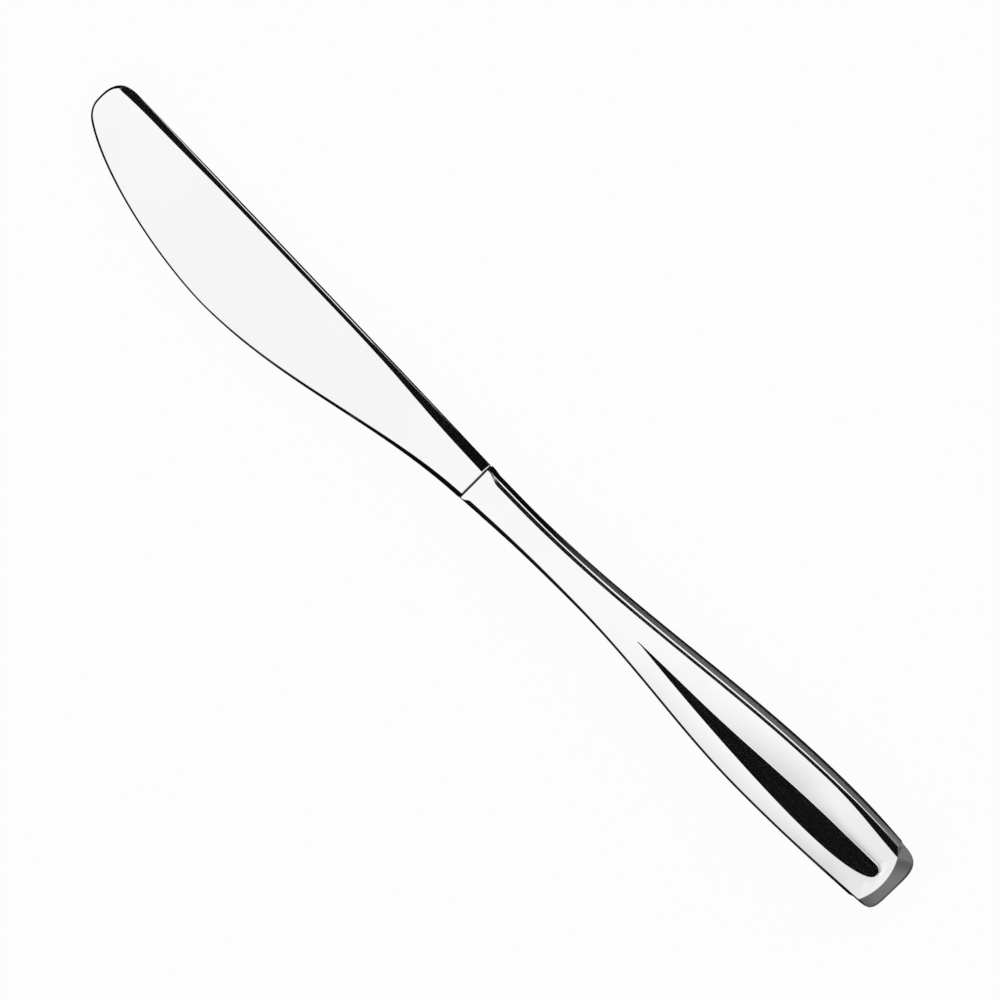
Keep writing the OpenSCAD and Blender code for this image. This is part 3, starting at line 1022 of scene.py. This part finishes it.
@dataclass
class Blade:
    """Blade with its bolster, spigot and tang."""

    form: BladeForm = field(default_factory=BladeForm)
    frame: Frame = field(default_factory=Frame)
    crest_round: float = 0.26
    crest_fine: float = 0.04
    crest_run: Couple = (6.0, 18.0)
    crest_out: float = 22.0
    bevel_round: float = 0.06
    edge_round: float = 0.03
    joint_round: float = 0.05
    support: float = 0.15
    round_steps: int = 6
    face_rows: int = 6
    spigot: Triple = (5.0, 2.68, 0.92)
    tang: Triple = (50.0, 2.0, 0.9)
    tang_end: float = 1.5
    block_bevels: Couple = (0.15, 0.1)
    overlap: float = 1.0
    piece: bpy.types.Object | None = None

    def crest(self, x: float, spine: float) -> float:
        """Rounding between wall and bevel, widest in the middle of the spine."""
        run = sweep(-x, *self.crest_run) * wave((self.form.nose_at + x) / self.crest_out)
        return mix(self.edge_round, mix(self.crest_fine, self.crest_round, run), spine)

    def section(self, loop: list[Vector], i: int, spine: float) -> list[Vector]:
        """Lay out half a section, from the middle plane up over wall and bevel.

        Args:
            loop: Outline of the blade.
            i: Index on the outline.
            spine: Share of the spine bevel there.

        Returns:
            Points from the outline to just inside the bevel.
        """
        form, p = self.form, loop[i]
        turn = inward(loop, i, 1.0) - p
        down = Vector((0.0, -form.spine_width(p.x), 0.0))
        step = (turn * form.edge_width(p.x)).lerp(down, smooth(spine))
        broad = form.bolster(p.x) if spine > 0.5 else form.swell(p.x)
        step = step.lerp(turn * form.bolster_bevel, broad)
        high = Vector((p.x, p.y, form.wall(p.x, p.y, spine)))
        top, inner = p + step, p + step * (1.0 + self.support / step.length)
        top.z, inner.z = form.face_z(top.x, top.y), form.face_z(inner.x, inner.y)
        radii = [0.0, self.crest(p.x, spine), self.bevel_round, 0.0]
        out = soften([p, high, top, inner], radii, self.round_steps)
        pull = lip_pull(-p.x - form.joint_gap, self.joint_round)
        for q in out:
            q.z = max(0.0, q.z - pull * unit(q.z))
            q.y -= math.copysign(pull, p.y)
        return out

    def build(self) -> bpy.types.Object:
        """Loft the blade, mirror it to both faces and add spigot and tang.

        Returns:
            The blade's object.
        """
        walk = self.form.loop()
        loop = [p for p, _ in walk]
        halves = [self.section(loop, i, spine) for i, (_, spine) in enumerate(walk)]
        sections = []
        for i, half in enumerate(halves):
            end = half[-1].lerp(halves[-1 - i][-1], 0.5)
            rows = range(1, self.face_rows + 1)
            sections.append(half + [half[-1].lerp(end, k / self.face_rows) for k in rows])
        bm = loft(sections)
        bmesh.ops.mirror(bm, geom=bm.verts[:] + bm.edges[:] + bm.faces[:], axis="Z", merge_dist=THIN)
        close_mouth(bm)
        length, *spigot_half = self.spigot
        reach, *tang_half = self.tang
        bevel, fine = self.block_bevels
        taper = self.tang_end / tang_half[0]
        self.add_block(bm, (-self.overlap, length), spigot_half, bevel)
        self.add_block(bm, (length - self.overlap, reach), tang_half, fine, taper)
        self.piece = place_steel(bm, self.frame, "blade_steel_body")
        return self.piece

    def add_block(self, bm: Mesh, ends: Couple, half: list[float], bevel: float, taper: float = 1.0) -> None:
        """Add a bevelled block that sits inside the handle: the spigot or the tang.

        Args:
            bm: Mesh of the blade.
            ends: Places along X where the block starts and ends.
            half: Half width and half height.
            bevel: Width of the bevels.
            taper: Width of the far end as a share of the width.
        """
        start, end = ends
        middle = Matrix.Translation(((start + end) / 2.0, 0.0, 0.0))
        block = Matrix.Diagonal((end - start, 2.0 * half[0], 2.0 * half[1], 1.0))
        verts = bmesh.ops.create_cube(bm, size=1.0, matrix=middle @ block)["verts"]
        far = [v for v in verts if v.co.x > end - self.overlap]
        bmesh.ops.scale(bm, vec=Vector((1.0, taper, 1.0)), verts=far)
        edges = list(dict.fromkeys(e for v in verts for e in v.link_edges))
        bmesh.ops.bevel(bm, geom=edges, offset=bevel, segments=2, profile=0.5, affect="EDGES", material=-1)

    def dress(self, finish: PolishedSteel) -> None:
        """Give the blade its finish and its place on the body.

        Args:
            finish: Steel of the blade.
        """
        self.piece.data.materials.append(finish.material())
        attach(self.piece, BODY)
        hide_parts("blade")


@dataclass
class HandleHalf:
    """Pressed half shell of the handle, with side wall, shoulder, dished face and thumb hollow."""

    face: Face
    form: HandleForm = field(default_factory=HandleForm)
    frame: Frame = field(default_factory=Frame)
    shell_wall: float = 0.7
    lining_drop: float = 0.6
    lining_ease: float = 0.5
    seam_round: float = 0.012
    crest_full: Pair = Pair(0.24, 0.12)
    crest_neck: Pair = Pair(0.15, 0.04)
    crest_lip: float = 0.04
    crest_lip_run: Couple = (1.0, 3.0)
    crest_run: Couple = (8.0, 40.0)
    bevel_round: float = 0.25
    bevel_round_run: float = 2.0
    bend_len: float = 1.4
    bend_lead: float = 4.0
    bend_steep: float = 0.6
    deep_run: float = 10.0
    steep_lead: float = 20.0
    steep_run: float = 21.4
    steep: Couple = (2.0, 9.0)
    face_round: float = 0.08
    dish_round: Pair = Pair(0.1, 0.05)
    mouth_round: float = 0.06
    round_steps: int = 5
    face_rows: int = 12
    piece: bpy.types.Object | None = None

    def corners(self, inset: float) -> list[list[Vector]]:
        """Lay out the corner points of every section.

        Args:
            inset: Distance from the outside, 0 for the outer skin.

        Returns:
            For each station the seam, the crest and the rows of the face, up to the rim or valley.
        """
        form = self.form
        stations = form.stations()
        seam = [form.seam_point(at) for at in stations]
        face = [form.face_point(at) for at in stations]
        dish = [form.dish_point(at) for at in stations]
        out = []
        for i, at in enumerate(stations):
            x, fall = seam[i].x, seam[i].z
            draft = form.draft(x, at.side) + mix(form.flange(x), form.butt_draft, fall)
            wall, crest = inward(seam, i, inset), inward(seam, i, inset + draft)
            edge = inward(face, i, inset / 2.0)
            wall.z = form.seam_gap / 2.0
            crest.z = mix(form.crest_z(min(crest.x, form.butt_at), at.side), form.butt_wall, fall)
            crest.z -= self.lining_drop * inset * (1.0 - self.lining_ease * fall)
            bend = unit((x - form.butt_at + self.bend_lead) / (self.bend_len + self.bend_lead))
            deep, late = smooth(bend), bend / self.bend_steep
            if at.side is Side.SPINE:
                deep = unit((dish[i].x - form.hollow_tip) / self.deep_run)
                late = (dish[i].x - form.hollow_at + self.steep_lead) / self.steep_run
            swell = form.crown(dish[i].x) * (1.0 - deep)
            steep = mix(1.0, mix(*self.steep, smooth(late)), deep)
            row = [wall, crest]
            for k in range(self.face_rows + 1):
                t = k / self.face_rows
                q = edge.lerp(dish[i], t)
                q.z = face[i].z + swell * (1.0 - (1.0 - t) ** 2) - inset
                q.z += (dish[i].z - face[i].z - swell) * t**steep
                row.append(q)
            out.append(row)
        return out

    def crest(self, x: float, side: Side) -> float:
        """Rounding of the crest, finest at the lip of the mouth.

        Args:
            x: Distance from the joint.
            side: Long side of the handle.

        Returns:
            The rounding.
        """
        neck = mix(self.crest_lip, self.crest_neck[side], ease(x, *self.crest_lip_run))
        body = mix(neck, self.crest_full[side], ease(x, *self.crest_run))
        return mix(body, self.bevel_round, self.form.fall(x))

    def pull(self, p: Vector) -> Vector:
        """Round the lip of the mouth by drawing a point of the outer skin in."""
        share = 1.0 - lip_pull(p.x, self.mouth_round) / math.hypot(p.y, p.z)
        return Vector((p.x, p.y * share, p.z * share))

    def build(self) -> bpy.types.Object:
        """Loft the outer and inner skin in one, close the mouth and turn it to its face.

        Returns:
            The half shell's object.
        """
        outer, inner = self.corners(0.0), self.corners(self.shell_wall)
        bevel_at = self.form.butt_at + self.form.corner.spine
        sections = []
        for i, (row, lining) in enumerate(zip(outer, inner)):
            side = Side.SPINE if i < len(outer) // 2 else Side.EDGE
            mid = row[-1].lerp(outer[-1 - i][-1], 0.5)
            core = lining[-1].lerp(inner[-1 - i][-1], 0.5)
            edge = mix(self.face_round, self.bevel_round, ease(row[2].x, bevel_at, self.bevel_round_run))
            radii = [0.0, self.seam_round, self.crest(row[0].x, side), edge]
            radii += [0.0] * (self.face_rows - 1) + [self.dish_round[side], 0.0]
            skin = soften([lining[0], *row, mid], radii, self.round_steps)
            back = [core, lining[-1], lining[self.face_rows // 2], lining[2], lining[1]]
            sections.append(back + [skin[0]] + [self.pull(q) for q in skin[1:]])
        bm = loft(sections)
        close_mouth(bm)
        bmesh.ops.scale(bm, vec=Vector((1.0, 1.0, self.face.value)), verts=bm.verts)
        self.piece = place_steel(bm, self.frame, f"handle_shell_{self.face.name.lower()}")
        return self.piece

    def dress(self, finish: PolishedSteel) -> None:
        """Give the half shell its finish and its place on the body.

        Args:
            finish: Steel of the handle.
        """
        self.piece.data.materials.append(finish.material())
        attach(self.piece, BODY)
        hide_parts(f"handle_{self.face.name.lower()}")


@dataclass
class KeptSolids:
    """Solids that stay as they are and only get a better finish."""

    nodes: dict[str, bpy.types.Object]

    def dress(self, node: str, finish: Finish) -> None:
        """Give a solid its finish.

        Args:
            node: Name of the solid.
            finish: Its finish.
        """
        mesh = self.nodes[node].data
        mesh.materials.clear()
        mesh.materials.append(finish.material())


@dataclass(frozen=True)
class Fan:
    """Card on the floor in a fan round one end of the knife, bent up at its far side.

    The middle is in millimetres from the joint, the turns are in degrees.
    """

    middle: Couple
    turns: Couple
    far: float
    near: float = 1.0
    clear: Step = Step(0.0, 0.0, 1.0)
    flat: float = 0.8
    height: float = 26.0

    def lay(self, u: float, w: float) -> tuple[float, float, Vector]:
        """Lay out one point of the card.

        Args:
            u: Share of the way round.
            w: Share of the way out.

        Returns:
            Angle round the middle in radians, distance from it, and the point above the floor.
        """
        turn = math.radians(mix(*self.turns, u))
        reach = mix(self.near + self.clear.at(turn), self.far, unit(w / self.flat))
        rise = self.height * unit((w - self.flat) / (1.0 - self.flat))
        x, y = self.middle
        return turn, reach, Vector((x + reach * math.cos(turn), y + reach * math.sin(turn), rise))


@dataclass
class Studio:
    """White tent with glowing cards, seen only in the polished steel, that paint dark and grey reflections
    along its edges, and the camera.

    The camera's target is in millimetres in the frame. The greys of three numbers give a tone, and
    the start and the length over which it comes in.
    """

    frame: Frame = field(default_factory=Frame)
    blade: BladeForm = field(default_factory=BladeForm)
    handle: HandleForm = field(default_factory=HandleForm)
    tilt: float = 15.0
    target: Triple = (1.33, 2.864, 3.57)
    distance: float = 1.2
    field_width: float = 0.18712
    sensor: float = 36.0
    clip: Couple = (0.05, 20.0)
    floor_half: float = 3.0
    card_grid: tuple[int, int] = (120, 24)
    black: float = 0.003
    lift: float = 0.05
    butt_lift: float = 0.03
    roof: float = 1600.0
    under: float = -1.0
    spine_ends: Couple = (-112.0, 114.0)
    edge_ends: Couple = (-180.0, 200.0)
    edge_far: float = 520.0
    blade_reach: float = 3.0
    bolster_reach: Step = Step(6.0, -18.0, 12.0)
    neck_reach: float = 6.5
    body_reach: Step = Step(-3.7, 12.0, 24.0)
    butt_reach: Step = Step(1.5, 94.0, 10.0)
    butt_squeeze: Step = Step(0.35, 94.0, 10.0)
    # Greys of the spine card: painted shadow that the side wall mirrors.
    near_grey: Step = Step(0.12, 0.2, 0.9)
    far_grey: Triple = (0.2, 2.0, 0.8)
    grey_run: Couple = (14.0, 40.0)
    edge_grey: Triple = (0.03, 50.0, 60.0)
    # Greys and glow of the fan round the butt: painted reflection and shade on the end bevel.
    butt_grey: Triple = (0.19, 6.0, 10.0)
    butt_glow: float = 0.04
    butt_shades: tuple[Step, ...] = (Step(-0.5, -0.23, 0.5), Step(0.4, 0.4, 0.5), Step(-0.37, -0.23, -0.45))
    butt_dark: Step = Step(1.0, -1.35, 0.35)
    butt_fan: Fan = Fan((104.0, 2.0), (-80.0, 100.0), 60.0, clear=Step(10.3, 1.0, 0.2))
    tip_fan: Fan = Fan((-94.0, 1.0), (95.0, 265.0), 45.0)

    @property
    def ground(self) -> float:
        """Height of the cards on the floor, in millimetres from the joint."""
        return self.lift - self.frame.z

    def light(self) -> None:
        """Fill the tent with white light that falls off towards the edge side and the two ends."""
        world = bpy.data.worlds.new("white_tent")
        bpy.context.scene.world = world
        world.use_nodes = True
        pad = NodePad(world.node_tree)
        way = pad.add("SeparateXYZ", in_Vector=pad.add("TexCoord").outputs["Generated"]).outputs
        fall = pad.span(way["Y"], (0.67, 1.0), start=(-0.95, -0.26))
        ends = pad.span(way["X"], (1.0, 0.84), start=(0.05, 0.14))
        sides = pad.span(pad.math("ABSOLUTE", way["X"]), (1.0, 0.4), start=(0.35, 0.85))
        whole = pad.math("MULTIPLY", pad.math("MULTIPLY", fall, ends), sides)
        glow = pad.add("Background", in_Color=(1.0, 1.0, 1.0, 1.0), in_Strength=whole)
        pad.add("OutputWorld", in_Surface=glow.outputs["Background"])

    def outline(self, x: float, side: Side) -> float:
        """Side of the knife's outline.

        Args:
            x: Place along the knife from the joint, in millimetres.
            side: Side of the knife.

        Returns:
            Height of the outline there.
        """
        if x > 0.0:
            at = min(x, self.handle.butt_at)
            return self.handle.side_y(at, side) + side.value * self.handle.belt(at)
        at = max(x, -self.blade.nose_at)
        return self.blade.spine_line(at) if side is Side.SPINE else self.blade.edge_y(at)

    def card(self, name: str, points: Points) -> None:
        """Make a glowing card that only the polished steel mirrors: a painted reflection.

        Args:
            name: Name of the card.
            points: Gives a point in millimetres from the joint and its grey, for two shares.
        """
        bm = bmesh.new()
        nx, ny = self.card_grid
        bmesh.ops.create_grid(bm, x_segments=nx, y_segments=ny, size=1.0)
        layer = bm.verts.layers.float.new(REFLECTION_TONE)
        for v in bm.verts:
            v.co, v[layer] = points((v.co.x + 1.0) / 2.0, (v.co.y + 1.0) / 2.0)
        self.frame.settle(bm)
        board = place_piece(bm, name)
        board.data.materials.append(PaintedReflectionCard(name + "_grey").material())
        for ray in ("camera", "diffuse", "shadow", "transmission"):
            setattr(board, f"visible_{ray}", False)

    def flat(self, low: Triple, along: Triple, across: Triple) -> Points:
        """Describe a plain black card, a painted dark reflection, by a corner and two sides, in millimetres
        from the joint.
        """
        a, b, c = Vector(low), Vector(along), Vector(across)
        return lambda u, w: (a + b * u + c * w, self.black)

    def spine_reach(self, x: float) -> float:
        """Width of the dark card on the floor along the spine side."""
        handle = self.neck_reach + self.body_reach.at(x) + self.butt_reach.at(x)
        return self.blade_reach + self.bolster_reach.at(x) if x < 0.0 else handle

    def spine_tone(self, x: float, d: float) -> float:
        """Painted reflection along the spine side: the card's grey, black near the knife and paler further
        out, stands in for the floor's shadow that the side wall mirrors.

        Args:
            x: Place along the knife.
            d: Distance from the outline.

        Returns:
            Its grey, black along blade and mouth.
        """
        d *= 1.0 - self.butt_squeeze.at(x)
        grey = self.black + self.near_grey.at(d) + climb(d, *self.far_grey)
        return mix(self.black, grey, sweep(x, *self.grey_run))

    def on_floor(self, x: float, side: Side, d: float) -> Vector:
        """Point on the floor at a distance from the knife's outline."""
        return Vector((x, self.outline(x, side) + side.value * d, self.ground))

    def along_spine(self, u: float, w: float) -> tuple[Vector, float]:
        """Point and grey of the card on the floor along the spine side, which paints the side wall's
        reflection.

        Args:
            u: Share of the way along the knife.
            w: Share of the way out.

        Returns:
            The point and its grey.
        """
        x = mix(*self.spine_ends, u)
        d = mix(self.under, self.spine_reach(x), w)
        return self.on_floor(x, Side.SPINE, d), self.spine_tone(x, d)

    def along_edge(self, u: float, w: float) -> tuple[Vector, float]:
        """Point and grey of the card on the floor along the edge side, a painted dark reflection."""
        x, d = mix(*self.edge_ends, u), mix(self.under, self.edge_far, w**3)
        return self.on_floor(x, Side.EDGE, d), self.black + climb(d, *self.edge_grey)

    def off_butt(self, u: float, w: float) -> tuple[Vector, float]:
        """Point and grey of the card round the butt, a painted reflection that shades the end bevel.

        Args:
            u: Share of the way round the butt, from the edge side.
            w: Share of the way out.

        Returns:
            The point and its grey.
        """
        turn, reach, place = self.butt_fan.lay(u, w)
        tone = climb(reach, *self.butt_grey) + self.butt_glow * unit(place.z / self.butt_fan.height)
        share = 1.0 + sum(step.at(turn) for step in self.butt_shades)
        place.z += self.ground + self.butt_lift
        return place, self.black + tone * share * self.butt_dark.at(turn)

    def round_tip(self, u: float, w: float) -> tuple[Vector, float]:
        """Point and grey of the black card round the blade's tip, a painted dark reflection."""
        _, _, place = self.tip_fan.lay(u, w)
        return place + Vector((0.0, 0.0, self.ground)), self.black

    def build(self) -> None:
        """Lay the floor and set the cards."""
        bm = bmesh.new()
        bmesh.ops.create_grid(bm, x_segments=4, y_segments=4, size=self.floor_half)
        floor = place_piece(bm, "floor")
        floor.data.materials.append(PaleFloor().material())
        # Black cards that only the steel mirrors: painted dark reflections.
        boards = {
            "card_over": ((-650, 55, self.roof), (1950, 0, 0), (0, 2445, 0)),
            "card_end": ((-1500, 55, self.roof), (850, 0, 0), (0, 800, 0)),
            "card_back": ((-450, 2500, 960), (1750, 0, 0), (0, 0, 640)),
            "card_nose": ((-111.3, 9.6, 4.6), (6.7, 6, 0), (3.7, -4.1, 7)),
            "card_heel": ((-600, -500, self.ground), (1200, 0, 0), (0, 0, 100)),
            "card_bolster": ((-32, 13.5, self.ground), (34, 0, 0), (0, 21, 18.5)),
        }
        for name, sides in boards.items():
            self.card(name, self.flat(*sides))
        self.card("card_spine", self.along_spine)
        self.card("card_edge", self.along_edge)
        self.card("card_butt", self.off_butt)
        self.card("card_tip", self.round_tip)

    def aim(self) -> None:
        """Set up the camera, tilted towards the spine, with the knife along the picture's diagonal."""
        tilt = math.radians(self.tilt)
        along = Vector((1.0, 0.0, 0.0))
        across = Vector((0.0, math.cos(tilt), -math.sin(tilt)))
        back = Vector((0.0, math.sin(tilt), math.cos(tilt)))
        right, up = (along + across).normalized(), (across - along).normalized()
        turn = Matrix((right, up, back)).transposed().to_4x4()
        data = bpy.data.cameras.new("camera")
        data.sensor_width = self.sensor
        data.lens = self.sensor * self.distance / self.field_width
        data.clip_start, data.clip_end = self.clip
        camera = bpy.data.objects.new("camera", data)
        eye = Vector(self.target) * MM + back * self.distance
        camera.matrix_world = Matrix.Translation(eye) @ turn
        bpy.context.scene.collection.objects.link(camera)
        bpy.context.scene.camera = camera


PALE_STEEL = (0.95, 0.95, 0.953)
DEEP_STEEL = (0.93, 0.93, 0.934)
BLADE_STEEL = PolishedSteel("blade_steel", PALE_STEEL, DEEP_STEEL, lines=(5200.0, 60.0, 60.0))
HANDLE_STEEL = PolishedSteel("handle_steel", PALE_STEEL, DEEP_STEEL, lines=(120.0, 4200.0, 4200.0))
# Near-black solder: partly its own dark oxide, partly painted shade of the narrow gap between bolster and
# handle.
SOLDER_AND_GAP_SHADE = CastStuff(
    name="solder_and_gap_shade",
    metal=0.85,
    pale=(0.05, 0.05, 0.052),
    deep=(0.015, 0.015, 0.016),
    cloud=(1400.0, 5.0, 0.6),
    rough=(0.35, 0.6),
    bump=(0.2, 0.00003),
)
CAST_FILLER = CastStuff(
    name="cast_filler",
    metal=0.0,
    pale=(0.5, 0.37, 0.23),
    deep=(0.3, 0.2, 0.11),
    cloud=(260.0, 4.0, 0.5),
    rough=(0.55, 0.8),
    bump=(0.4, 0.0001),
    grain=2200.0,
)


def main() -> None:
    """Build the knife, dress it and light it."""
    logging.basicConfig(level=logging.INFO, format="%(name)s: %(message)s")
    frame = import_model()
    bpy.context.scene.view_settings.view_transform = "Standard"
    studio = Studio()
    studio.light()
    studio.build()
    studio.aim()
    for part, steel in ((Blade(), BLADE_STEEL), *((HandleHalf(face), HANDLE_STEEL) for face in Face)):
        piece = part.build()
        part.dress(steel)
        LOG.info("%s: %d faces", piece.name, len(piece.data.polygons))
    solids = KeptSolids(frame["nodes"])
    finishes = {"seam_solder": SOLDER_AND_GAP_SHADE, "joint_solder": SOLDER_AND_GAP_SHADE, "filler": CAST_FILLER}
    for node, finish in finishes.items():
        solids.dress(node, finish)
        LOG.info("%s: dressed", node)


if __name__ == "__main__":
    main()
